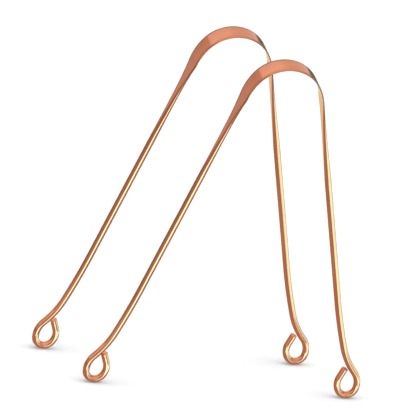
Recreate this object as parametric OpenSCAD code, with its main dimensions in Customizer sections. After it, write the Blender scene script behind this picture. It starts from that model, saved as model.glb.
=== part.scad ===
// Pair of wire tongue scrapers standing on their eyes, one staggered in front of the other.
// Each one is a single copper wire: its middle is pressed flat into an arched blade, the blade
// tapers back to round wire, and each arm ends in a teardrop eye.
// Units are millimetres. Z is up, X runs from one eye to the other, Y from front to back.
// The wire is described as a bender does: a list of steps from the middle of the blade outwards,
// each one a straight feed, a bend radius and a bend angle.

/* [Overall] */
// Height of a scraper from the foot of its eyes to the top of the blade
overall_h = 132.7; // [110:0.1:160]
// Lean of each arm away from upright, in degrees
arm_splay = 15.55; // [11:0.05:20]

/* [Wire] */
// Diameter of the round wire
wire_d = 2.5; // [1.8:0.05:3]

/* [Blade] */
// Width of the pressed blade
blade_w = 8.6; // [6:0.1:10]
// Radius of the crown arch, at the middle of the strip
crown_r = 13.5; // [11:0.1:17]
// Angle of the crown arch from its middle to each shoulder
crown_turn = 55.4; // [45:0.2:60]
// Radius of the wider bend at each shoulder
shoulder_r = 20.7; // [17:0.1:30]
// Length over which the strip grows back to round wire
taper_len = 35.5; // [25:0.5:45]

/* [Arms] */
// Radius of the slight outward bow of the lower arm
bow_r = 240; // [150:5:600]
// Angle of that bow
bow_turn = 4.8; // [1:0.1:8]
// Radius of the tighter outward bend at the hip, just above the eye
hip_r = 31; // [22:0.5:60]
// Angle of that bend
hip_turn = 21.2; // [14:0.2:30]

/* [Eyes] */
// Bend radius down the outer side of the eye
eye_outer_r = 7.8; // [6:0.1:10]
// Angle of the bend down the outer side
eye_outer_turn = 51.3; // [44:0.1:60]
// Bend radius round the foot of the eye
eye_foot_r = 3.45; // [2.8:0.05:4.2]
// Angle of the bend round the foot
eye_foot_turn = 136.3; // [126:0.1:142]
// Bend radius up the inner side of the eye
eye_inner_r = 5.7; // [4.5:0.1:8]
// Angle of the bend up the inner side
eye_inner_turn = 56.3; // [48:0.1:62]
// Gap between the cut end of the tail and the arm, which sets the length of the tail
tail_gap = 0.15; // [0.1:0.05:1]
// Roll of the inner side out of the arms' plane, which leans the tail to the back
tail_roll = 5.4; // [3:0.1:15]
// Broken edge on the cut end of the tail
tip_chamfer = 0.35; // [0.1:0.05:0.5]

/* [Pair] */
// Sideways step from the rear scraper to the front one
pair_step_x = 13.8; // [0:0.1:30]
// Distance between the planes of the two scrapers
pair_step_y = 22.9; // [14:0.1:40]

/* [Hidden] */

round_fn = 96;      // facets shown round the wire
bend_fn = 180;      // facets shown along a bend
end_points = 12;    // points round each rounded edge of a tapering section
taper_rings = 22;   // sections along the taper
wire_points = 20;   // points round the wire of an arm or an eye
arm_arc_step = 1.6; // largest angle between two sections along an arm's bends
eye_arc_step = 6;   // the same along an eye's bends
tail_step = 0.05;   // step in which the tail grows towards the arm

// The press squeezes the wire without losing metal, so every section keeps the wire's area.
wire_area = PI * pow(wire_d, 2) / 4;

// Width of a strip with half-round edges, thickness t and the wire's area
function strip_width(t) = t + (wire_area - PI * pow(t, 2) / 4) / t;

// Thickness of such a strip of width w: the smaller root of the same relation
function strip_thickness(w) =
    let (corner = 1 - PI / 4) (w - sqrt(pow(w, 2) - 4 * corner * wire_area)) / (2 * corner);

blade_t = strip_thickness(blade_w);

// A frame is [place, direction that the wire bends towards, heading].
// A step is [feed, radius, turn], and a negative turn bends the other way.
function width_direction(f) = cross(f[2], f[1]);
function fed(f, feed) = [f[0] + feed * f[2], f[1], f[2]];
function bent(f, r, turn) =
    let (side = cos(turn) * f[1] - sin(turn) * f[2], ahead = cos(turn) * f[2] + sin(turn) * f[1])
    [f[0] + r * sign(turn) * (f[1] - side), side, ahead];
function rolled(f, roll) = [f[0], cos(roll) * f[1] + sin(roll) * width_direction(f), f[2]];
function past(f, step) = bent(fed(f, step[0]), step[1], step[2]);

// Bending steps of one side, in order from the middle of the blade
crown_step = [0, crown_r, crown_turn];
shoulder_step = [0, shoulder_r, 90 - arm_splay - crown_turn];
taper_step = [taper_len, 0, 0];
bow_step = [0, bow_r, -bow_turn];
hip_step = [0, hip_r, -hip_turn];
outer_step = [0, eye_outer_r, eye_outer_turn];
foot_step = [0, eye_foot_r, eye_foot_turn];
inner_step = [0, eye_inner_r, eye_inner_turn];

// Frames where each piece of one side begins; the left side (-1) is the right one turned round
function crown_start(side) = [[0, 0, overall_h - blade_t / 2], [0, 0, -1], [side, 0, 0]];
function shoulder_start(side) = past(crown_start(side), crown_step);
function taper_start(side) = past(shoulder_start(side), shoulder_step);
function arm_start(side) = past(taper_start(side), taper_step);
function bow_start(side) = fed(arm_start(side), arm_run);
function hip_start(side) = past(bow_start(side), bow_step);
function eye_start(side) = past(hip_start(side), hip_step);

// The arm's straight run is what the other steps leave of the overall height
free_foot = past(past(past(arm_start(1), bow_step), hip_step), outer_step);
free_foot_z = free_foot[0][2] + eye_foot_r * free_foot[1][2] - eye_foot_r - wire_d / 2;
arm_run = free_foot_z / cos(arm_splay);

// The tail grows from the end of the inner bend until its cut end is tail_gap from the arm,
// whose axis there is the arc of the hip
hip_centre = hip_start(1)[0] - hip_r * hip_start(1)[1];
foot_end = past(past(eye_start(1), outer_step), foot_step);
tail_start = past(rolled(foot_end, tail_roll), inner_step);
function from_arm(p) =
    norm([norm([p[0] - hip_centre[0], p[2] - hip_centre[2]]) - hip_r, p[1]]) - wire_d / 2;
function end_gap(reach) = min([
    for (ring = [
        wire_ring(fed(tail_start, reach - tip_chamfer), wire_d),
        wire_ring(fed(tail_start, reach), wire_d - 2 * tip_chamfer)
    ], p = ring) from_arm(p)
]);
function grown(reach) =
    reach > 3 * wire_d || end_gap(reach + tail_step) < tail_gap
        ? reach : grown(reach + tail_step);
tail_len = grown(2 * tip_chamfer);

// Puts its children, drawn with the wire along Z and the bend towards X, at a frame
module at(f) {
    columns = [f[1], width_direction(f), f[2], f[0]];
    multmatrix([for (row = [0 : 2]) [for (column = columns) column[row]]]) children();
}

// A bend of the section given as a child, drawn in the X (thickness) and Y (width) directions
module bend(r, turn) {
    mirror([turn < 0 ? 1 : 0, 0, 0]) translate([r, 0, 0]) rotate([90, 0, 180])
        rotate_extrude(angle = abs(turn), $fn = bend_fn) translate([r, 0]) children();
}

// Section of the pressed strip: flat faces and half-round edges
module strip_section() {
    flat = blade_w - blade_t;
    square([blade_t, flat], center = true);
    for (side = [-1, 1])
        translate([0, side * flat / 2]) circle(d = blade_t, $fn = round_fn);
}

// Skin over rings of points that share one count, closed at both ends
module loft(rings) {
    n = len(rings[0]);
    last_ring = (len(rings) - 1) * n;
    sides = [
        for (i = [0 : len(rings) - 2], k = [0 : n - 1])
            let (a = i * n + k, b = i * n + (k + 1) % n)
            for (face = [[a, a + n, b], [b, a + n, b + n]]) face
    ];
    first = [for (k = [0 : n - 1]) k];
    last = [for (k = [n - 1 : -1 : 0]) last_ring + k];
    polyhedron(points = [for (ring = rings) for (point = ring) point],
        faces = concat(sides, [first, last]));
}

// Points of a tapering section of thickness t at height z: two half rounds, moved apart
function taper_section(t, z) = [
    for (side = [1, -1], k = [0 : end_points - 1])
        let (a = side * 90 - 90 + (k + 1 / 2) * 180 / end_points)
        [t / 2 * cos(a), t / 2 * sin(a) + side * (strip_width(t) - t) / 2, z]
];

// Points round the wire, of diameter d, at a frame
function wire_ring(f, d) = [
    for (k = [0 : wire_points - 1])
        let (a = k * 360 / wire_points)
        f[0] + d / 2 * (cos(a) * f[1] + sin(a) * width_direction(f))
];

// Frames along one bend, at most arc_step apart and without its first
function bend_frames(f, step, arc_step) =
    let (n = ceil(abs(step[2]) / arc_step))
    [for (i = [1 : n]) bent(f, step[1], step[2] * i / n)];

// Arched crown, from shoulder to shoulder
module blade() {
    color([0.88, 0.54, 0.40]) for (side = [-1, 1])
        at(crown_start(side)) bend(crown_r, crown_turn) strip_section();
}

// Wider bend from the crown to the start of the taper
module shoulder(side) {
    color([0.85, 0.51, 0.38]) at(shoulder_start(side))
        bend(shoulder_r, shoulder_step[2]) strip_section();
}

// Straight run where the strip grows evenly in thickness until it is round wire again
module taper(side) {
    color([0.80, 0.47, 0.34]) at(taper_start(side)) loft([
        for (i = [0 : taper_rings])
            let (share = i / taper_rings)
            taper_section(blade_t + (wire_d - blade_t) * share, taper_len * share)
    ]);
}

// Round arm: its straight run, the slight bow and the hip above the eye
module arm(side) {
    bow = bend_frames(bow_start(side), bow_step, arm_arc_step);
    hip = bend_frames(hip_start(side), hip_step, arm_arc_step);
    along = concat([arm_start(side), bow_start(side)], bow, hip);
    color([0.76, 0.42, 0.29]) loft([for (f = along) wire_ring(f, wire_d)]);
}

// Teardrop eye: outer side, foot, inner side rolled back out of the plane, and chamfered tail
module eye(side) {
    roll = side * tail_roll;
    outer = bend_frames(eye_start(side), outer_step, eye_arc_step);
    foot = bend_frames(outer[len(outer) - 1], foot_step, eye_arc_step);
    inner = bend_frames(rolled(foot[len(foot) - 1], roll), inner_step, eye_arc_step);
    // The rolled frames are turned back again, so that the points of all rings stay in line
    along = concat([eye_start(side)], outer, foot, [for (f = inner) rolled(f, -roll)]);
    tail = along[len(along) - 1];
    color([0.72, 0.40, 0.27]) loft(concat(
        [for (f = along) wire_ring(f, wire_d)],
        [wire_ring(fed(tail, tail_len - tip_chamfer), wire_d)],
        [wire_ring(fed(tail, tail_len), wire_d - 2 * tip_chamfer)]
    ));
}

// Places of the two scrapers: the pair is centred on the origin
module rear() {
    translate([-pair_step_x / 2, pair_step_y / 2, 0]) children();
}

module front() {
    translate([pair_step_x / 2, -pair_step_y / 2, 0]) children();
}

rear() blade();  // rear_blade
rear() shoulder(-1);  // rear_left_shoulder
rear() shoulder(1);  // rear_right_shoulder
rear() taper(-1);  // rear_left_taper
rear() taper(1);  // rear_right_taper
rear() arm(-1);  // rear_left_arm
rear() arm(1);  // rear_right_arm
rear() eye(-1);  // rear_left_eye
rear() eye(1);  // rear_right_eye
front() blade();  // front_blade
front() shoulder(-1);  // front_left_shoulder
front() shoulder(1);  // front_right_shoulder
front() taper(-1);  // front_left_taper
front() taper(1);  // front_right_taper
front() arm(-1);  // front_left_arm
front() arm(1);  // front_right_arm
front() eye(-1);  // front_left_eye
front() eye(1);  // front_right_eye
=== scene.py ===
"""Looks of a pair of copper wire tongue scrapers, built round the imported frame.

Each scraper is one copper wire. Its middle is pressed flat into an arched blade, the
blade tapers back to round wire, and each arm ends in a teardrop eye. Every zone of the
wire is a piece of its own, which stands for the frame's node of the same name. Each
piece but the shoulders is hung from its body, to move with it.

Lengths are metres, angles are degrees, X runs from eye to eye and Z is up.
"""

import logging
import math
from dataclasses import dataclass, field
from enum import Enum

import bpy
import numpy as np
from mathutils import Matrix, Vector


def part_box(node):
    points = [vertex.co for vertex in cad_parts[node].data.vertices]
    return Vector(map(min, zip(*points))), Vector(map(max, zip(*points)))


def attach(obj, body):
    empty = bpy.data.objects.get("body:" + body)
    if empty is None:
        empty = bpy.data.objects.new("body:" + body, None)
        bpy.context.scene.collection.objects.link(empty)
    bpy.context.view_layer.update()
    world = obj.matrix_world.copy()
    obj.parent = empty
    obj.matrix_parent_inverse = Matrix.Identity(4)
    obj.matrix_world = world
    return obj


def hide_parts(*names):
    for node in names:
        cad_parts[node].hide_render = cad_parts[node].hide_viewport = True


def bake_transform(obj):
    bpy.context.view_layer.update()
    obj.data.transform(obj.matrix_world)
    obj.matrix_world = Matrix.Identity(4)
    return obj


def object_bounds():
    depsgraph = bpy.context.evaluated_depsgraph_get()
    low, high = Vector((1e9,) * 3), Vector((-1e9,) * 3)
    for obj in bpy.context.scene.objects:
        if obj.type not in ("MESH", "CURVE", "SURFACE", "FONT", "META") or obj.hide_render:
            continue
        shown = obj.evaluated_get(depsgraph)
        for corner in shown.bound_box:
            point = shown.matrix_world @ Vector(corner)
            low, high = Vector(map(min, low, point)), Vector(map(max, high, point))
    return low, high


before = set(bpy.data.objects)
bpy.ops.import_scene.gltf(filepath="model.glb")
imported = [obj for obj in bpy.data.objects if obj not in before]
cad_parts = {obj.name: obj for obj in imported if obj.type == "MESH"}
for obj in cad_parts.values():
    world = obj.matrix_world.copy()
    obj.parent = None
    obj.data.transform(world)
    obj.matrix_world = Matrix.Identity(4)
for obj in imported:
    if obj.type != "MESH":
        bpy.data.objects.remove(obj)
CAD_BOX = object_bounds()

LOG = logging.getLogger("scrapers")
MILLIMETRE = 0.001
TINY = 1e-9  # keeps a division safe where the strip has no flat left
ROUNDING = 1e-6  # lets a comparison hold in spite of rounding
FIT_TOLERANCE = 0.06 * MILLIMETRE
SIDE_STEP = 6.9 * MILLIMETRE  # from the pair's middle to that of each scraper
UV_NAME = "along_wire"
FLATNESS = "flatness"
EDGE = "edge"


class Side(Enum):
    """Side of a scraper, as the sign of X that its arm runs towards."""

    LEFT = -1
    RIGHT = 1


class Row(Enum):
    """Place of a scraper in the pair."""

    REAR = "rear"
    FRONT = "front"


class Slot(Enum):
    """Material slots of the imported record."""

    PRESSED = "pressed_copper"
    DRAWN = "drawn_copper"


def unit(vectors: np.ndarray) -> np.ndarray:
    """Scale vectors to length one along their last axis."""
    return vectors / np.linalg.norm(vectors, axis=-1, keepdims=True)


# ---------------------------------------------------------------- the wire's path


@dataclass
class Run:
    """Stations along the wire, each with the directions that its section is drawn in.

    place, inward and heading have one row per station. inward is the direction that the
    wire bends towards, heading the one that it runs in, and travel the distance from the
    middle of the blade, measured along the wire.
    """

    place: np.ndarray
    inward: np.ndarray
    heading: np.ndarray
    travel: np.ndarray

    @property
    def across(self) -> np.ndarray:
        """Direction of the strip's width at each station."""
        return np.cross(self.heading, self.inward)

    def last(self) -> "Run":
        """Return the final station as a run of one."""
        return Run(self.place[-1:], self.inward[-1:], self.heading[-1:], self.travel[-1:])

    def joined(self, other: "Run") -> "Run":
        """Append another run that starts where this one ends.

        Args:
            other: The next run, whose first station repeats this one's last.

        Returns:
            One run with the shared station once.
        """
        pairs = (
            (self.place, other.place),
            (self.inward, other.inward),
            (self.heading, other.heading),
            (self.travel, other.travel),
        )
        return Run(*(np.concatenate([a, b[1:]]) for a, b in pairs))

    def rolled(self, angle: float) -> "Run":
        """Turn every section about its heading.

        Args:
            angle: Turn from inward towards across, in degrees.

        Returns:
            The same places and headings, with inward turned.
        """
        a = math.radians(angle)
        inward = math.cos(a) * self.inward + math.sin(a) * self.across
        return Run(self.place, inward, self.heading, self.travel)

    def fed(self, length: float, step: float) -> "Run":
        """Run straight on from the last station.

        Args:
            length: How far, in metres.
            step: Largest distance between stations.

        Returns:
            The straight run, its first station included.
        """
        end = self.last()
        s = np.linspace(0.0, length, max(2, math.ceil(length / step) + 1))[:, None]
        same = np.ones_like(s)
        return Run(
            end.place + s * end.heading,
            same * end.inward,
            same * end.heading,
            end.travel + s[:, 0],
        )

    def turned(self, radius: float, first: float, last: float, step: float) -> "Run":
        """Bend from the last station through a range of angles.

        At angle p the wire heads along cos p times heading plus sin p times inward, and
        it has moved by radius times (inward minus the turned inward). A negative radius
        with negative angles bends the other way.

        Args:
            radius: Bend radius at the middle of the wire.
            first: Angle of the first station.
            last: Angle of the final station.
            step: Largest angle between stations.

        Returns:
            The stations of the bend.
        """
        end = self.last()
        count = max(2, math.ceil(abs(last - first) / step) + 1)
        p = np.radians(np.linspace(first, last, count))[:, None]
        inward = np.cos(p) * end.inward - np.sin(p) * end.heading
        heading = np.cos(p) * end.heading + np.sin(p) * end.inward
        place = end.place + radius * (end.inward - inward)
        return Run(place, inward, heading, end.travel + radius * p[:, 0])


@dataclass(frozen=True)
class BendProgram:
    """Steps of one side of the wire, as a bender reads them, and the wire's own size."""

    height: float = 132.7 * MILLIMETRE
    splay: float = 15.55
    wire: float = 2.5 * MILLIMETRE
    blade_width: float = 8.6 * MILLIMETRE
    crown_radius: float = 13.5 * MILLIMETRE
    crown_turn: float = 55.4
    shoulder_radius: float = 20.7 * MILLIMETRE
    taper_length: float = 35.5 * MILLIMETRE
    bow_radius: float = 240.0 * MILLIMETRE
    bow_turn: float = 4.8
    hip_radius: float = 31.0 * MILLIMETRE
    hip_turn: float = 21.2
    outer_radius: float = 7.8 * MILLIMETRE
    outer_turn: float = 51.3
    foot_radius: float = 3.45 * MILLIMETRE
    foot_turn: float = 136.3
    inner_radius: float = 5.7 * MILLIMETRE
    inner_turn: float = 56.3
    tail_length: float = 4.10 * MILLIMETRE
    tail_roll: float = 5.4
    tip_chamfer: float = 0.35 * MILLIMETRE
    arc_step: float = 1.0
    eye_step: float = 2.0
    feed_step: float = 0.6 * MILLIMETRE

    @property
    def area(self) -> float:
        """Area of the wire's section, which the press doesn't change."""
        return math.pi * self.wire**2 / 4

    @property
    def shoulder_turn(self) -> float:
        """Angle of the wider bend between the crown and the straight arm."""
        return 90.0 - self.splay - self.crown_turn

    @property
    def blade_thickness(self) -> float:
        """Thickness of the blade.

        Returns:
            The smaller root of the relation that keeps the wire's area: width times
            thickness, less the corners that the half-round edges leave out.
        """
        corner = 1 - math.pi / 4
        root = math.sqrt(self.blade_width**2 - 4 * corner * self.area)
        return (self.blade_width - root) / (2 * corner)

    def strip_width(self, thickness: np.ndarray) -> np.ndarray:
        """Width of a strip with half-round edges and the wire's area.

        Args:
            thickness: Thickness at each station.

        Returns:
            t plus (area minus the round part's) over t.
        """
        return thickness + (self.area - math.pi * thickness**2 / 4) / thickness

    def apex(self, side: Side) -> Run:
        """Station at the top of the crown.

        Args:
            side: Side that it heads towards.

        Returns:
            A run of that one station.
        """
        top = self.height - self.blade_thickness / 2
        return Run(
            np.array([[0.0, 0.0, top]]),
            np.array([[0.0, 0.0, -1.0]]),
            np.array([[float(side.value), 0.0, 0.0]]),
            np.zeros(1),
        )

    def crown(self, side: Side) -> Run:
        """Half of the crown arch, from its top to the shoulder."""
        return self.apex(side).turned(self.crown_radius, 0.0, self.crown_turn, self.arc_step)

    def whole_crown(self) -> Run:
        """Whole crown arch, from the left shoulder to the right one."""
        turn = self.crown_turn
        return self.apex(Side.RIGHT).turned(self.crown_radius, -turn, turn, self.arc_step)

    def shoulder(self, side: Side) -> Run:
        """Wider bend after the crown."""
        crown = self.crown(side)
        return crown.turned(self.shoulder_radius, 0.0, self.shoulder_turn, self.arc_step / 2)

    def taper(self, side: Side) -> Run:
        """Straight run where the strip grows back to round wire."""
        return self.shoulder(side).fed(self.taper_length, self.feed_step / 2)

    def hip_and_eye(self, start: Run) -> tuple[Run, Run, Run]:
        """Bends from the arm to the foot of the eye.

        Args:
            start: Any run, whose last station begins the bow.

        Returns:
            The slight bow with the hip after it, the eye's outer side and the bend round
            its foot.
        """
        bow = start.turned(-self.bow_radius, 0.0, -self.bow_turn, self.arc_step / 4)
        hip = bow.turned(-self.hip_radius, 0.0, -self.hip_turn, self.arc_step / 2)
        hip = bow.joined(hip)
        outer = hip.turned(self.outer_radius, 0.0, self.outer_turn, self.eye_step)
        foot = outer.turned(self.foot_radius, 0.0, self.foot_turn, self.eye_step)
        return hip, outer, foot

    def arm_run(self, side: Side) -> float:
        """Length of the straight arm, which is what the other steps leave of the height.

        Args:
            side: Either side; both give the same length.

        Returns:
            Straight length in metres.
        """
        start = self.taper(side)
        _, outer, _ = self.hip_and_eye(start)
        end = outer.last()
        centre_z = end.place[0, 2] + self.foot_radius * end.inward[0, 2]
        lowest = centre_z - self.foot_radius - self.wire / 2
        return lowest / math.cos(math.radians(self.splay))

    def arm(self, side: Side) -> Run:
        """Straight round arm and its outward bend above the eye.

        Args:
            side: Side of the scraper.

        Returns:
            Stations down to the start of the eye.
        """
        straight = self.taper(side).fed(self.arm_run(side), self.feed_step * 2)
        hip, _, _ = self.hip_and_eye(straight)
        return straight.joined(hip)

    def eye(self, side: Side) -> Run:
        """Outer side, foot and inner side of an eye, with its straight tail.

        The inner side bends in a plane that is rolled back, so that the tail clears the
        arm. Its sections are rolled forward again, so that their points stay in line.

        Args:
            side: Side of the scraper.

        Returns:
            Stations up to the end of the wire.
        """
        straight = self.taper(side).fed(self.arm_run(side), self.feed_step * 2)
        _, outer, foot = self.hip_and_eye(straight)
        roll = side.value * self.tail_roll
        inner = foot.last().rolled(roll)
        inner = inner.turned(self.inner_radius, 0.0, self.inner_turn, self.eye_step)
        tail = inner.fed(self.tail_length - self.tip_chamfer, self.feed_step / 2)
        return outer.joined(foot).joined(inner.joined(tail).rolled(-roll))


# ---------------------------------------------------------------- the wire's section


@dataclass
class Outline:
    """Section at every station, as offsets along inward and along across."""

    inward: np.ndarray
    across: np.ndarray
    normal_inward: np.ndarray
    normal_across: np.ndarray
    flatness: np.ndarray
    edge: np.ndarray


@dataclass(frozen=True)
class StripSection:
    """Section of pressed strip: two faces that roll off towards two rounded edges.

    Round the section an angle a runs from the middle of the inner face. While a crosses
    a face, the point goes across it, closer and closer to the edge, and in its last
    stretch the face rolls off evenly to a slope. Each edge is an arc that goes on from
    that slope. With no flat left this is a circle, so pressed and round wire share one
    set of points. A band of the outer face along each edge is marked for painted shade.
    """

    flat_angle: float = 4.0
    flat_points: int = 20
    round_points: int = 24
    roll_width: float = 0.8 * MILLIMETRE
    roll_share: float = 0.2
    roll_slope: float = 0.3
    # Band of painted edge shade on the outer face: its width and its fade.
    painted_shade_width: float = 1.2 * MILLIMETRE
    painted_shade_fade: float = 0.48 * MILLIMETRE

    def angles(self) -> np.ndarray:
        """Angles of the section's points.

        Returns:
            The angles in order round the section, from the middle of the inner face.
        """
        half = np.linspace(0.0, self.flat_angle, self.flat_points // 2 + 1)
        rest = np.linspace(self.flat_angle, 90.0, self.round_points // 2 + 1)[1:]
        quarter = np.concatenate([half, rest])
        upper = np.concatenate([quarter, 180.0 - quarter[-2::-1]])
        return np.radians(np.concatenate([upper, 180.0 + upper[1:-1]]))

    def outline(self, thickness: np.ndarray, width: np.ndarray) -> Outline:
        """Points of the section at every station.

        Args:
            thickness: Thickness at each station.
            width: Width at each station.

        Returns:
            The outline, with one row per station.
        """
        a = self.angles()[None, :]
        r = thickness[:, None] / 2
        h = (width - thickness)[:, None] / 2
        zone = np.minimum(self.roll_width, self.roll_share * h) + TINY
        slope = self.roll_slope * zone / self.roll_width
        tilt = np.arctan(slope)
        arc = (r - slope * zone / 2) / np.cos(tilt)
        centre = h + r - arc
        reach = centre + arc * np.sin(tilt)

        ramp = np.sin(a) / math.sin(math.radians(self.flat_angle))
        on_face = np.abs(ramp) <= 1 + ROUNDING
        g = np.sin(np.clip(ramp, -1.0, 1.0) * math.pi / 2)
        far = np.clip(np.abs(g) * reach - (reach - zone), 0.0, None)
        face, edge = np.sign(np.cos(a)), np.sign(np.sin(a))
        lean = np.arctan(slope * far / zone)
        start = math.radians(self.flat_angle)
        share = (np.arcsin(np.abs(np.sin(a))) - start) / (math.pi / 2 - start)
        lean = np.where(on_face, lean, tilt + share * (math.pi / 2 - tilt))
        inward = np.where(on_face, face * (r - slope * far**2 / (2 * zone)),
                          face * arc * np.cos(lean))
        across = np.where(on_face, g * reach, edge * (centre + arc * np.sin(lean)))
        pressed = np.clip(h / (h + r), 0.0, 1.0)
        flat = np.where(on_face, pressed, 0.0)
        # Band along the outer face's edges that the finish paints darker, as painted shade.
        near = (self.painted_shade_width - (h + r - np.abs(across))) / self.painted_shade_fade
        brink = np.where(face < 0, np.clip(near, 0.0, 1.0), 0.0) * pressed
        return Outline(inward, across, face * np.cos(lean), edge * np.sin(lean), flat, brink)


@dataclass(frozen=True)
class RoundSection:
    """Section of round wire, whose points start at the middle of the inner side."""

    points: int = 64

    def outline(self, diameter: np.ndarray) -> Outline:
        """Points of the circle at every station.

        Args:
            diameter: Diameter at each station.

        Returns:
            The outline, with one row per station.
        """
        a = np.linspace(0.0, 2 * math.pi, self.points, endpoint=False)[None, :]
        r = diameter[:, None] / 2
        ones, none = np.ones_like(r), np.zeros_like(r * a)
        return Outline(
            r * np.cos(a), r * np.sin(a), ones * np.cos(a), ones * np.sin(a), none, none
        )


@dataclass
class Skin:
    """Closed surface that carries an outline along a run.

    front_edge is the share of the rear edge's painted shade that the front edge has, at each
    station.
    """

    run: Run
    outline: Outline
    front_edge: np.ndarray

    def points(self) -> np.ndarray:
        """Every vertex of the sides.

        Returns:
            Their places, as stations by points by coordinates.
        """
        run, out = self.run, self.outline
        return (
            run.place[:, None, :]
            + out.inward[..., None] * run.inward[:, None, :]
            + out.across[..., None] * run.across[:, None, :]
        )

    def normals(self) -> np.ndarray:
        """Outward normals: the tangent round the section crossed with the one along it.

        Returns:
            Unit normals, as stations by points by coordinates.
        """
        run, out = self.run, self.outline
        round_it = (
            -out.normal_across[..., None] * run.inward[:, None, :]
            + out.normal_inward[..., None] * run.across[:, None, :]
        )
        along_it = np.gradient(self.points(), run.travel, axis=0, edge_order=2)
        return unit(np.cross(round_it, along_it))

    def girth(self) -> np.ndarray:
        """Distance round the section, the running sum of its sides' lengths.

        Returns:
            One row per station, zero at the middle of the outer face, with the seam twice.
        """
        points = self.points()
        closed = np.concatenate([points, points[:, :1]], axis=1)
        steps = np.linalg.norm(np.diff(closed, axis=1), axis=2)
        far = np.concatenate([np.zeros((len(steps), 1)), np.cumsum(steps, axis=1)], axis=1)
        return far - far[:, -1:] / 2

    def mesh(self, name: str) -> bpy.types.Mesh:
        """Make the mesh: quads round the wire and a fan of triangles over each end.

        Args:
            name: Name of the mesh.

        Returns:
            A mesh with smooth sides, flat ends, the wire's own UV map, and attributes for
            its flatness and for the painted shade and added roughness of its edges.
        """
        points, normals = self.points(), self.normals()
        n, m = points.shape[:2]
        i, k = np.meshgrid(np.arange(n - 1), np.arange(m), indexing="ij")
        nxt = (k + 1) % m
        quads = np.stack([i * m + k, i * m + nxt, (i + 1) * m + nxt, (i + 1) * m + k], -1)
        ring = np.arange(m)
        first = np.stack([np.full(m, n * m), (ring + 1) % m, ring], -1)
        final = np.stack([np.full(m, n * m + 1), ring, (ring + 1) % m], -1)
        final[:, 1:] += (n - 1) * m
        vertices = np.concatenate(
            [points.reshape(-1, 3), points[[0, -1]].mean(axis=1)], axis=0
        )
        loops = np.concatenate([quads.ravel(), first.ravel(), final.ravel()])
        sizes = np.concatenate([np.full((n - 1) * m, 4), np.full(2 * m, 3)])

        mesh = bpy.data.meshes.new(name)
        mesh.vertices.add(len(vertices))
        mesh.vertices.foreach_set("co", vertices.astype(np.float32).ravel())
        mesh.loops.add(len(loops))
        mesh.loops.foreach_set("vertex_index", loops.astype(np.int32))
        mesh.polygons.add(len(sizes))
        starts = np.concatenate([[0], np.cumsum(sizes)[:-1]])
        mesh.polygons.foreach_set("loop_start", starts.astype(np.int32))
        material = np.concatenate([np.zeros((n - 1) * m), np.ones(2 * m)])
        mesh.polygons.foreach_set("material_index", material.astype(np.int32))
        mesh.polygons.foreach_set("use_smooth", np.ones(len(sizes), dtype=bool))
        mesh.update(calc_edges=True)

        self._lay_uv(mesh, k)
        # Y points to the rear, so these are the points of the rear edge.
        behind = self.outline.across * self.run.across[:, 1:2] > 0
        # edge carries the painted shade along the strip's edges, which also roughens them.
        edge = self.outline.edge * np.where(behind, 1.0, self.front_edge[:, None])
        for title, numbers in ((FLATNESS, self.outline.flatness), (EDGE, edge)):
            layer = mesh.attributes.new(title, "FLOAT", "POINT")
            values = np.concatenate([numbers.ravel(), np.zeros(2)])
            layer.data.foreach_set("value", values.astype(np.float32))
        self._set_normals(mesh, normals, quads.size)
        mesh.validate(clean_customdata=False)
        return mesh

    def _lay_uv(self, mesh: bpy.types.Mesh, k: np.ndarray) -> None:
        """Lay U along the wire and V round it, both in metres.

        Args:
            mesh: Mesh to lay the map on.
            k: Index of each quad round the section.
        """
        n, m = self.outline.inward.shape
        girth, travel = self.girth(), self.run.travel
        i = np.arange(n - 1)[:, None] + 0 * k
        u = np.stack([travel[i], travel[i], travel[i + 1], travel[i + 1]], -1)
        v = np.stack([girth[i, k], girth[i, k + 1], girth[i + 1, k + 1], girth[i + 1, k]], -1)
        side = np.stack([u, v], -1).reshape(-1, 2)
        out = self.outline
        caps = []
        for end, order in ((0, (1, 0)), (-1, (0, 1))):
            flat = np.stack([out.inward[end], out.across[end]], -1)
            following = np.roll(flat, -1, axis=0)
            corners = (flat, following)
            caps.append(
                np.stack([np.zeros_like(flat), corners[order[0]], corners[order[1]]], 1)
            )
        uv = np.concatenate([side, caps[0].reshape(-1, 2), caps[1].reshape(-1, 2)])
        layer = mesh.uv_layers.new(name=UV_NAME)
        layer.uv.foreach_set("vector", uv.astype(np.float32).ravel())

    def _set_normals(self, mesh: bpy.types.Mesh, normals: np.ndarray, sides: int) -> None:
        """Give the sides their worked-out normals and the ends flat ones.

        Args:
            mesh: Mesh to set.
            normals: Outward normal at each point of the sides.
            sides: Number of loops that belong to the sides.
        """
        loop_vertex = np.zeros(len(mesh.loops), dtype=np.int32)
        mesh.loops.foreach_get("vertex_index", loop_vertex)
        table = np.concatenate([normals.reshape(-1, 3), np.zeros((2, 3))])
        loop_normals = table[loop_vertex]
        m = self.outline.inward.shape[1]
        loop_normals[sides : sides + 3 * m] = -self.run.heading[0]
        loop_normals[sides + 3 * m :] = self.run.heading[-1]
        mesh.normals_split_custom_set(loop_normals.tolist())


# ---------------------------------------------------------------- finishes


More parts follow.
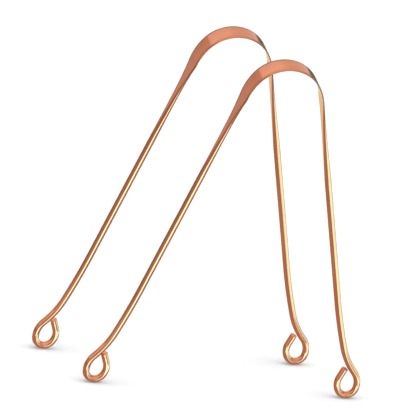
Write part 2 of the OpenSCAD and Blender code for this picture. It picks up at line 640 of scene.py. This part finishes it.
@dataclass
class NodeSheet:
    """Short way to lay shader nodes in a material or world, in rows from the right."""

    tree: bpy.types.NodeTree
    count: int = 0
    columns: int = 9
    cell: tuple[int, int] = (-220, -260)

    def add(self, kind: str, **values: object) -> bpy.types.Node:
        """Add a node and set its properties and unlinked inputs.

        Args:
            kind: Node type.
            **values: Properties by name; names of inputs have "in_" before them, with "_"
                for each space, or "in" and a number for an input by its place.

        Returns:
            The node.
        """
        node = self.tree.nodes.new(kind)
        row, column = divmod(self.count, self.columns)
        node.location = (self.cell[0] * column, self.cell[1] * row)
        self.count += 1
        for key, value in values.items():
            if key.startswith("in_"):
                node.inputs[key[3:].replace("_", " ")].default_value = value
            elif key[:2] == "in" and key[2:].isdigit():
                node.inputs[int(key[2:])].default_value = value
            else:
                setattr(node, key, value)
        return node

    def link(self, source: bpy.types.NodeSocket, target: bpy.types.NodeSocket) -> None:
        """Link an output to an input."""
        self.tree.links.new(source, target)


@dataclass(frozen=True)
class CopperFinish:
    """Bare copper with lines along the wire, and a trace of warm tarnish.

    Lines are noise stretched along the wire. They follow the wire's own UV map, whose two
    directions are metres along and round the wire. Along the strip's edges the colour is
    painted darker, as painted shade.
    """

    name: str
    colour: tuple[float, float, float] = (0.79, 0.30, 0.163)
    tarnish: tuple[float, float, float] = (0.66, 0.215, 0.105)
    tarnish_share: float = 0.35
    flat_roughness: float = 0.10
    round_roughness: float = 0.05
    roughness_swing: float = 0.06
    # Colour share left where the edge attribute is full, as painted shade, and the roughness
    # added there.
    edge_shade: float = 0.28
    edge_roughness: float = 0.2
    fine_lines: tuple[float, float, float] = (90.0, 9000.0, 1.0)
    broad_lines: tuple[float, float, float] = (28.0, 1150.0, 1.0)
    fine_share: float = 0.35
    line_range: tuple[float, float] = (0.36, 0.64)
    streaks: tuple[float, float] = (0.88, 1.08)
    tarnish_scale: float = 85.0
    tarnish_range: tuple[float, float] = (0.42, 0.72)
    line_bump: float = 0.35
    line_height: float = 0.6e-6
    drawn_line_share: float = 0.1

    def material(self) -> bpy.types.Material:
        """Build the node material.

        Returns:
            The material, with constant values on the shader's own sockets.
        """
        made = bpy.data.materials.new(self.name)
        made.use_nodes = True
        sheet = NodeSheet(made.node_tree)
        shader = made.node_tree.nodes["Principled BSDF"]
        shader.inputs["Metallic"].default_value = 1.0

        lines = self._lines(sheet)
        flat = sheet.add("ShaderNodeAttribute", attribute_name=FLATNESS)
        place = sheet.add("ShaderNodeTexCoord")
        cloud = sheet.add("ShaderNodeTexNoise", in_Scale=self.tarnish_scale, in_Detail=3.0)
        sheet.link(place.outputs["Object"], cloud.inputs["Vector"])

        low, high = self.tarnish_range
        tone = sheet.add("ShaderNodeMapRange", in1=low, in2=high, in3=0.0)
        tone.inputs[4].default_value = self.tarnish_share
        sheet.link(cloud.outputs["Fac"], tone.inputs[0])
        colour = sheet.add("ShaderNodeMix", data_type="RGBA")
        colour.inputs[6].default_value = (*self.colour, 1.0)
        colour.inputs[7].default_value = (*self.tarnish, 1.0)
        sheet.link(tone.outputs[0], colour.inputs[0])
        low, high = self.line_range
        dark, light = self.streaks
        streak = sheet.add("ShaderNodeMapRange", in1=low, in2=high, in3=dark, in4=light)
        sheet.link(lines, streak.inputs[0])
        shade = sheet.add("ShaderNodeVectorMath", operation="SCALE")
        sheet.link(colour.outputs[2], shade.inputs[0])
        # The edge attribute darkens the colour along the strip's edges: painted shade.
        brink = sheet.add("ShaderNodeAttribute", attribute_name=EDGE)
        painted_edge_shade = sheet.add("ShaderNodeMapRange", in1=0.0, in2=1.0, in3=1.0)
        painted_edge_shade.inputs[4].default_value = self.edge_shade
        sheet.link(brink.outputs["Fac"], painted_edge_shade.inputs[0])
        level = sheet.add("ShaderNodeMath", operation="MULTIPLY")
        sheet.link(streak.outputs[0], level.inputs[0])
        sheet.link(painted_edge_shade.outputs[0], level.inputs[1])
        sheet.link(level.outputs[0], shade.inputs[3])
        sheet.link(shade.outputs[0], shader.inputs["Base Color"])

        base = sheet.add("ShaderNodeMapRange", in1=0.0, in2=1.0)
        base.inputs[3].default_value = self.round_roughness
        base.inputs[4].default_value = self.flat_roughness
        sheet.link(flat.outputs["Fac"], base.inputs[0])
        swing = sheet.add("ShaderNodeMath", operation="MULTIPLY_ADD", in1=self.roughness_swing)
        sheet.link(lines, swing.inputs[0])
        sheet.link(base.outputs[0], swing.inputs[2])
        rough = sheet.add("ShaderNodeMath", operation="MULTIPLY_ADD", in1=self.edge_roughness)
        sheet.link(brink.outputs["Fac"], rough.inputs[0])
        sheet.link(swing.outputs[0], rough.inputs[2])
        sheet.link(rough.outputs[0], shader.inputs["Roughness"])

        depth = sheet.add("ShaderNodeMapRange", in1=0.0, in2=1.0, in4=1.0)
        depth.inputs[3].default_value = self.drawn_line_share
        sheet.link(flat.outputs["Fac"], depth.inputs[0])
        height = sheet.add("ShaderNodeMath", operation="MULTIPLY")
        sheet.link(lines, height.inputs[0])
        sheet.link(depth.outputs[0], height.inputs[1])
        bump = sheet.add(
            "ShaderNodeBump", in_Strength=self.line_bump, in_Distance=self.line_height
        )
        sheet.link(height.outputs[0], bump.inputs["Height"])
        sheet.link(bump.outputs["Normal"], shader.inputs["Normal"])
        return made

    def _lines(self, sheet: NodeSheet) -> bpy.types.NodeSocket:
        """Lines along the wire: fine ones and broad ones, in fixed shares.

        Args:
            sheet: Nodes of the material.

        Returns:
            The output that carries them, about 0.5 on average.
        """
        uv = sheet.add("ShaderNodeUVMap", uv_map=UV_NAME)
        kinds = (
            (self.fine_lines, 2.0, self.fine_share),
            (self.broad_lines, 3.0, 1 - self.fine_share),
        )
        parts = []
        for scale, detail, share in kinds:
            stretch = sheet.add("ShaderNodeMapping", in_Scale=scale)
            sheet.link(uv.outputs["UV"], stretch.inputs["Vector"])
            noise = sheet.add(
                "ShaderNodeTexNoise", noise_dimensions="2D", in_Scale=1.0, in_Detail=detail
            )
            sheet.link(stretch.outputs["Vector"], noise.inputs["Vector"])
            part = sheet.add("ShaderNodeMath", operation="MULTIPLY", in1=share)
            sheet.link(noise.outputs["Fac"], part.inputs[0])
            parts.append(part.outputs[0])
        both = sheet.add("ShaderNodeMath", operation="ADD")
        for number, part in enumerate(parts):
            sheet.link(part, both.inputs[number])
        return both.outputs[0]


@dataclass(frozen=True)
class CutFinish:
    """Sheared end of the wire: brighter, rougher and faintly torn."""

    name: str = "cut_copper"
    colour: tuple[float, float, float] = (0.86, 0.40, 0.24)
    dark_share: float = 0.8
    roughness: float = 0.38
    grain_scale: float = 2600.0
    grain_height: float = 6e-6
    grain_bump: float = 0.5

    def material(self) -> bpy.types.Material:
        """Build the node material.

        Returns:
            The material, whose pattern is read in Object coordinates.
        """
        made = bpy.data.materials.new(self.name)
        made.use_nodes = True
        sheet = NodeSheet(made.node_tree)
        shader = made.node_tree.nodes["Principled BSDF"]
        shader.inputs["Metallic"].default_value = 1.0
        shader.inputs["Roughness"].default_value = self.roughness
        place = sheet.add("ShaderNodeTexCoord")
        grain = sheet.add("ShaderNodeTexNoise", in_Scale=self.grain_scale, in_Detail=3.0)
        sheet.link(place.outputs["Object"], grain.inputs["Vector"])
        ramp = sheet.add("ShaderNodeMix", data_type="RGBA")
        ramp.inputs[6].default_value = (*(self.dark_share * c for c in self.colour), 1.0)
        ramp.inputs[7].default_value = (*self.colour, 1.0)
        sheet.link(grain.outputs["Fac"], ramp.inputs[0])
        sheet.link(ramp.outputs[2], shader.inputs["Base Color"])
        bump = sheet.add(
            "ShaderNodeBump", in_Strength=self.grain_bump, in_Distance=self.grain_height
        )
        sheet.link(grain.outputs["Fac"], bump.inputs["Height"])
        sheet.link(bump.outputs["Normal"], shader.inputs["Normal"])
        return made


@dataclass
class Finishes:
    """The materials that the pieces share."""

    pressed: bpy.types.Material = field(
        default_factory=lambda: CopperFinish("pressed_copper_satin").material()
    )
    drawn: bpy.types.Material = field(
        default_factory=lambda: CopperFinish("drawn_copper_polish").material()
    )
    cut: bpy.types.Material = field(default_factory=lambda: CutFinish().material())


# ---------------------------------------------------------------- the scrapers


@dataclass
class Scraper:
    """One scraper: a blade, and on each side a shoulder, a taper, an arm and an eye.

    The strip's front edge has front_tarnish of the rear edge's painted shade, which
    grows to all of it at painted_shade_reach right of the middle and is gone where the strip
    has thickened by painted_shade_end of the wire.
    """

    row: Row
    step: tuple[float, float]
    finishes: Finishes
    program: BendProgram = field(default_factory=BendProgram)
    strip: StripSection = field(default_factory=StripSection)
    wire: RoundSection = field(default_factory=RoundSection)
    ease: float = 0.08
    # Share of painted edge shade on the strip's front edge, where it grows and where it ends.
    front_tarnish: float = 0.25
    painted_shade_reach: float = 11.0 * MILLIMETRE
    painted_shade_end: float = 1 / 3

    def node(self, part: str, side: Side | None = None) -> str:
        """Name of a part's node in the frame."""
        middle = "" if side is None else side.name.lower() + "_"
        return f"{self.row.value}_{middle}{part}"

    def body(self, side: Side | None = None) -> str:
        """Name of the crown's body, or of a side's."""
        return f"{self.row.value}_" + ("crown" if side is None else f"{side.name.lower()}_side")

    def placed(self, run: Run) -> Run:
        """Move a run from the scraper's own place to the pair's."""
        shift = np.array([self.step[0], self.step[1], 0.0])
        return Run(run.place + shift, run.inward, run.heading, run.travel)

    def dress(self, name: str, skin: Skin, slot: Slot) -> bpy.types.Object:
        """Make a piece from a skin, and let it stand for the node of that name.

        Args:
            name: Name of the node.
            skin: The piece's surface.
            slot: Material slot of the record.

        Returns:
            The piece, which still has to ride or blend.
        """
        mesh = skin.mesh(name)
        side = self.finishes.pressed if slot is Slot.PRESSED else self.finishes.drawn
        mesh.materials.append(side)
        mesh.materials.append(self.finishes.cut)
        piece = bpy.data.objects.new(f"{name}_copper", mesh)
        bpy.context.scene.collection.objects.link(piece)
        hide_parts(name)
        # The photograph joins two pictures, so the front wire doesn't mirror the rear one.
        piece.visible_glossy = self.row is Row.FRONT
        piece.visible_diffuse = False
        self.report(name, mesh)
        return piece

    @staticmethod
    def report(name: str, mesh: bpy.types.Mesh) -> None:
        """Log a piece's size, and how far its box is from its node's.

        Args:
            name: Name of the node.
            mesh: Mesh of the piece.
        """
        low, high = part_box(name)
        co = np.zeros(len(mesh.vertices) * 3, dtype=np.float32)
        mesh.vertices.foreach_get("co", co)
        co = co.reshape(-1, 3)
        off = max(np.abs(co.min(0) - low).max(), np.abs(co.max(0) - high).max())
        level = logging.INFO if off < FIT_TOLERANCE else logging.WARNING
        LOG.log(
            level,
            "%s: %d faces, box off by %.3f mm",
            name,
            len(mesh.polygons),
            off / MILLIMETRE,
        )

    def strip_skin(self, run: Run, thickness: np.ndarray) -> Skin:
        """Skin of pressed strip, whose width follows from its thickness.

        Args:
            run: Stations of the strip.
            thickness: Thickness at each station.

        Returns:
            The skin, in the pair's place.
        """
        width = self.program.strip_width(thickness)
        thicker = (thickness - self.program.blade_thickness) / self.program.wire
        # Share of painted edge shade on the front edge, from the least at the middle and left
        # to all of it towards the right.
        painted_edge_shade = np.clip(run.place[:, 0] / self.painted_shade_reach, self.front_tarnish, 1.0)
        front_edge = painted_edge_shade * np.clip(1 - thicker / self.painted_shade_end, 0, 1)
        return Skin(self.placed(run), self.strip.outline(thickness, width), front_edge)

    def wire_skin(self, run: Run, diameter: np.ndarray) -> Skin:
        """Skin of round wire, which has no edges."""
        return Skin(self.placed(run), self.wire.outline(diameter), np.zeros(len(run.travel)))

    def blade(self) -> None:
        """Build the crown arch."""
        run = self.program.whole_crown()
        thickness = np.full(len(run.travel), self.program.blade_thickness)
        piece = self.dress(self.node("blade"), self.strip_skin(run, thickness), Slot.PRESSED)
        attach(piece, self.body())

    def shoulder(self, side: Side) -> None:
        """Build the wider bend, which flexes between the crown and the side.

        Args:
            side: Side of the scraper.
        """
        run = self.program.shoulder(side)
        thickness = np.full(len(run.travel), self.program.blade_thickness)
        piece = self.dress(
            self.node("shoulder", side), self.strip_skin(run, thickness), Slot.PRESSED
        )
        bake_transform(piece)

    def taper(self, side: Side) -> None:
        """Build the run where the strip grows back to round wire.

        The thickness grows evenly, with a short ease at each end.

        Args:
            side: Side of the scraper.
        """
        run = self.program.taper(side)
        share = (run.travel - run.travel[0]) / self.program.taper_length
        e = self.ease
        eased = np.where(share < e, share**2 / (2 * e), share - e / 2)
        eased = np.where(share > 1 - e, 1 - e - (1 - share) ** 2 / (2 * e), eased) / (1 - e)
        thin, thick = self.program.blade_thickness, self.program.wire
        thickness = thin + (thick - thin) * eased
        piece = self.dress(
            self.node("taper", side), self.strip_skin(run, thickness), Slot.PRESSED
        )
        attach(piece, self.body(side))

    def arm(self, side: Side) -> None:
        """Build the round arm down to its eye.

        Args:
            side: Side of the scraper.
        """
        run = self.program.arm(side)
        diameter = np.full(len(run.travel), self.program.wire)
        skin = self.wire_skin(run, diameter)
        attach(self.dress(self.node("arm", side), skin, Slot.DRAWN), self.body(side))

    def eye(self, side: Side) -> None:
        """Build the teardrop eye, whose tail ends in a broken edge.

        Args:
            side: Side of the scraper.
        """
        run = self.program.eye(side)
        chamfer = self.program.tip_chamfer
        tip = run.fed(chamfer, chamfer / 4)
        whole = run.joined(tip)
        past = np.clip(whole.travel - run.travel[-1], 0.0, chamfer)
        diameter = self.program.wire - 2 * past
        skin = self.wire_skin(whole, diameter)
        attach(self.dress(self.node("eye", side), skin, Slot.DRAWN), self.body(side))

    def build(self) -> None:
        """Build every piece of the scraper."""
        self.blade()
        for side in Side:
            self.shoulder(side)
            self.taper(side)
            self.arm(side)
            self.eye(side)


# ---------------------------------------------------------------- studio


@dataclass(frozen=True)
class PhotoCamera:
    """Long-lens camera at the photograph's angle."""

    azimuth: float = -18.48
    elevation: float = 26.556
    lean: float = 12.315
    lens: float = 1500.0
    target: tuple[float, float, float] = (-0.00717, 0.00221, 0.06594)
    distance: float = 6.1867
    clip: tuple[float, float] = (0.1, 40.0)

    def build(self) -> None:
        """Make the camera and point it, with Z leaning to the right in the picture."""
        a, e = math.radians(self.azimuth), math.radians(self.elevation)
        back = Vector(
            (math.sin(a) * math.cos(e), -math.cos(a) * math.cos(e), math.sin(e))
        )
        data = bpy.data.cameras.new("photo_camera")
        data.lens = self.lens
        data.clip_start, data.clip_end = self.clip
        camera = bpy.data.objects.new("photo_camera", data)
        level = (-back).to_track_quat("-Z", "Y").to_matrix()
        turn = Matrix.Rotation(math.radians(self.lean), 3, "Z")
        place = (level @ turn).to_4x4()
        place.translation = Vector(self.target) + back * self.distance
        camera.matrix_world = place
        bpy.context.scene.collection.objects.link(camera)
        bpy.context.scene.camera = camera


@dataclass(frozen=True)
class Softbox:
    """Area lamp hung over the table, aimed at the object."""

    name: str
    place: tuple[float, float, float]
    size: tuple[float, float]
    power: float
    aim: tuple[float, float, float] = (0.0, 0.0, 0.03)

    def build(self) -> None:
        """Make the lamp, with its long side along X."""
        data = bpy.data.lights.new(self.name, "AREA")
        data.shape = "RECTANGLE"
        data.size, data.size_y = self.size
        data.energy = self.power
        lamp = bpy.data.objects.new(self.name, data)
        back = Vector(self.place) - Vector(self.aim)
        across = Vector((1.0, 0.0, 0.0))
        up = back.cross(across).normalized()
        across = up.cross(back).normalized()
        turn = Matrix((across, up, back.normalized())).transposed().to_4x4()
        turn.translation = Vector(self.place)
        lamp.matrix_world = turn
        lamp.visible_camera = lamp.visible_glossy = False
        bpy.context.scene.collection.objects.link(lamp)


def sees_background(sheet: NodeSheet) -> bpy.types.NodeSocket:
    """One for camera, glossy and transmission rays, and zero for the rest.

    Args:
        sheet: Nodes of a material or a world.

    Returns:
        The output that carries it.
    """
    path = sheet.add("ShaderNodeLightPath")
    first = sheet.add("ShaderNodeMath", operation="MAXIMUM")
    second = sheet.add("ShaderNodeMath", operation="MAXIMUM")
    sheet.link(path.outputs["Is Camera Ray"], first.inputs[0])
    sheet.link(path.outputs["Is Glossy Ray"], first.inputs[1])
    sheet.link(first.outputs[0], second.inputs[0])
    sheet.link(path.outputs["Is Transmission Ray"], second.inputs[1])
    return second.outputs[0]


@dataclass(frozen=True)
class Card:
    """Studio card that polished metal mirrors: grey to shade it, or bright to light it.

    A card stands far off in one direction, faces the object and has soft edges. It is met
    by glossy rays alone, so it neither shows nor throws light or shadow on the table.
    """

    name: str
    azimuth: float
    elevation: float
    width: float
    height: float
    level: float
    tint: tuple[float, float, float] = (1.0, 1.0, 1.0)
    soft: float = 0.25
    distance: float = 6.0

    def build(self) -> None:
        """Make the card: azimuth runs from the front towards the right, in degrees."""
        a, e = math.radians(self.azimuth), math.radians(self.elevation)
        out = Vector(
            (math.sin(a) * math.cos(e), -math.cos(a) * math.cos(e), math.sin(e))
        )
        half_x = self.distance * math.tan(math.radians(self.width / 2))
        half_y = self.distance * math.tan(math.radians(self.height / 2))
        mesh = bpy.data.meshes.new(self.name)
        corners = [
            (-half_x, -half_y, 0.0), (half_x, -half_y, 0.0),
            (half_x, half_y, 0.0), (-half_x, half_y, 0.0),
        ]
        mesh.from_pydata(corners, [], [(0, 1, 2, 3)])
        mesh.materials.append(self._glow(half_x, half_y))
        card = bpy.data.objects.new(self.name, mesh)
        place = (-out).to_track_quat("Z", "Y").to_matrix().to_4x4()
        place.translation = out * self.distance
        card.matrix_world = place
        card.visible_camera = card.visible_diffuse = card.visible_shadow = False
        card.visible_transmission = card.visible_volume_scatter = False
        bpy.context.scene.collection.objects.link(card)

    def _glow(self, half_x: float, half_y: float) -> bpy.types.Material:
        """Even glow that fades out towards the card's edges.

        Args:
            half_x: Half the card's width.
            half_y: Half its height.

        Returns:
            The material, which is clear at the edges.
        """
        made = bpy.data.materials.new(self.name)
        made.use_nodes = True
        nodes = made.node_tree.nodes
        nodes.remove(nodes["Principled BSDF"])
        sheet = NodeSheet(made.node_tree)
        place = sheet.add("ShaderNodeTexCoord")
        split = sheet.add("ShaderNodeSeparateXYZ")
        sheet.link(place.outputs["Object"], split.inputs[0])
        cover = sheet.add("ShaderNodeMath", operation="MULTIPLY")
        fade = self.soft * min(half_x, half_y)
        for number, half in enumerate((half_x, half_y)):
            size = sheet.add("ShaderNodeMath", operation="ABSOLUTE")
            ramp = sheet.add(
                "ShaderNodeMapRange", interpolation_type="SMOOTHSTEP", in3=1.0, in4=0.0
            )
            ramp.inputs[1].default_value = half - fade
            ramp.inputs[2].default_value = half
            sheet.link(split.outputs[number], size.inputs[0])
            sheet.link(size.outputs[0], ramp.inputs[0])
            sheet.link(ramp.outputs[0], cover.inputs[number])
        clear = sheet.add("ShaderNodeBsdfTransparent")
        glow = sheet.add(
            "ShaderNodeEmission", in_Color=(*self.tint, 1.0), in_Strength=self.level
        )
        both = sheet.add("ShaderNodeMixShader")
        sheet.link(cover.outputs[0], both.inputs[0])
        sheet.link(clear.outputs[0], both.inputs[1])
        sheet.link(glow.outputs[0], both.inputs[2])
        sheet.link(both.outputs[0], nodes["Material Output"].inputs["Surface"])
        return made


WARM_GREY = (1.0, 0.95, 0.86)
BLUSH = (1.0, 0.86, 0.76)
PALE_GOLD = (1.0, 0.95, 0.62)
COOL_WHITE = (0.50, 1.0, 1.0)
ICE_WHITE = (0.42, 1.0, 1.1)
# Name, azimuth, elevation, width and height in degrees, level and tint.
CARDS = (
    Card("ground_card", 0.0, -90.0, 170.0, 170.0, 0.52, WARM_GREY, soft=0.02, distance=3.0),
    Card("left_rear_card", -135.0, 2.0, 100.0, 30.0, 0.68, BLUSH, soft=0.06, distance=5.0),
    Card("left_edge_card", -122.0, -9.0, 30.0, 12.0, 0.26, WARM_GREY, soft=0.3, distance=4.7),
    Card("left_card", -88.0, 0.0, 44.0, 34.0, 0.4, WARM_GREY, soft=0.2, distance=4.8),
    Card("left_high_card", -122.0, 30.0, 36.0, 30.0, 0.42, WARM_GREY, distance=4.9),
    Card("front_left_card", -26.0, 14.0, 46.0, 48.0, 0.55, WARM_GREY, soft=0.3, distance=5.0),
    Card("right_high_card", 95.0, 32.0, 50.0, 36.0, 0.5, WARM_GREY, soft=0.3, distance=5.0),
    Card("rear_right_card", 146.0, 18.0, 62.0, 54.0, 0.87, WARM_GREY, soft=0.6, distance=5.2),
    Card("rear_dark_card", 150.0, -12.0, 60.0, 22.0, 0.2, WARM_GREY, soft=0.15, distance=5.1),
    Card("rear_low_card", -178.0, -32.0, 36.0, 16.0, 0.92, PALE_GOLD, soft=0.2, distance=2.9),
    Card("rear_low_light", 158.0, -24.0, 14.0, 6.0, 1.3, PALE_GOLD, soft=0.5, distance=2.8),
    Card("left_strip_light", -1.2, -20.5, 33.5, 15.0, 4.3, ICE_WHITE, soft=0.15, distance=3.9),
    Card("low_strip_light", 43.7, -21.5, 46.5, 17.0, 3.1, COOL_WHITE, soft=0.15, distance=4.0),
    Card("right_strip_light", 88.0, -3.0, 62.0, 42.0, 2.2, COOL_WHITE, soft=0.25, distance=4.1),
)


@dataclass(frozen=True)
class Studio:
    """White table and white surround, soft light from above, and the cards."""

    table_half: float = 4.0
    table_colour: tuple[float, float, float] = (0.86, 0.86, 0.86)
    table_fill: float = 0.02
    surround: float = 0.05
    softboxes: tuple[Softbox, ...] = (
        Softbox("overhead_softbox", (0.0, -0.4, 5.5), (34.0, 5.0), 1600.0),
    )
    cards: tuple[Card, ...] = CARDS

    def build(self) -> None:
        """Make the table, the surround, the lamps and the cards."""
        self._table()
        self._surround()
        for stand in (*self.softboxes, *self.cards):
            stand.build()

    def _table(self) -> None:
        """Make the table, which keeps the object's shadow."""
        h = self.table_half
        mesh = bpy.data.meshes.new("table")
        corners = [(-h, -h, 0.0), (h, -h, 0.0), (h, h, 0.0), (-h, h, 0.0)]
        mesh.from_pydata(corners, [], [(0, 1, 2, 3)])
        material = bpy.data.materials.new("table_white")
        material.use_nodes = True
        nodes = material.node_tree.nodes
        sheet = NodeSheet(material.node_tree)
        nodes.remove(nodes["Principled BSDF"])
        matte = sheet.add("ShaderNodeBsdfDiffuse", in_Color=(*self.table_colour, 1.0))
        glow = sheet.add("ShaderNodeEmission")
        lit = sheet.add("ShaderNodeMath", operation="MULTIPLY", in1=self.table_fill)
        sheet.link(sees_background(sheet), lit.inputs[0])
        sheet.link(lit.outputs[0], glow.inputs["Strength"])
        both = sheet.add("ShaderNodeAddShader")
        sheet.link(matte.outputs[0], both.inputs[0])
        sheet.link(glow.outputs[0], both.inputs[1])
        sheet.link(both.outputs[0], nodes["Material Output"].inputs["Surface"])
        mesh.materials.append(material)
        table = bpy.data.objects.new("table", mesh)
        table.visible_glossy = False
        bpy.context.scene.collection.objects.link(table)

    def _surround(self) -> None:
        """Make the world: white where it is seen or mirrored, and dimmer as light."""
        world = bpy.data.worlds.new("surround")
        bpy.context.scene.world = world
        world.use_nodes = True
        sheet = NodeSheet(world.node_tree)
        background = world.node_tree.nodes["Background"]
        background.inputs["Color"].default_value = (1.0, 1.0, 1.0, 1.0)
        level = sheet.add("ShaderNodeMapRange", in1=0.0, in2=1.0, in4=1.0)
        level.inputs[3].default_value = self.surround
        sheet.link(sees_background(sheet), level.inputs[0])
        sheet.link(level.outputs[0], background.inputs["Strength"])


def main() -> None:
    """Build the camera, the studio and both scrapers."""
    logging.basicConfig(level=logging.INFO, format="%(name)s %(levelname)s %(message)s")
    bpy.context.scene.view_settings.view_transform = "Standard"
    PhotoCamera().build()
    Studio().build()
    finishes = Finishes()
    program = BendProgram()
    step_y = CAD_BOX[1].y - program.blade_width / 2
    Scraper(Row.REAR, (-SIDE_STEP, step_y), finishes, program).build()
    Scraper(Row.FRONT, (SIDE_STEP, -step_y), finishes, program).build()


if __name__ == "__main__":
    main()
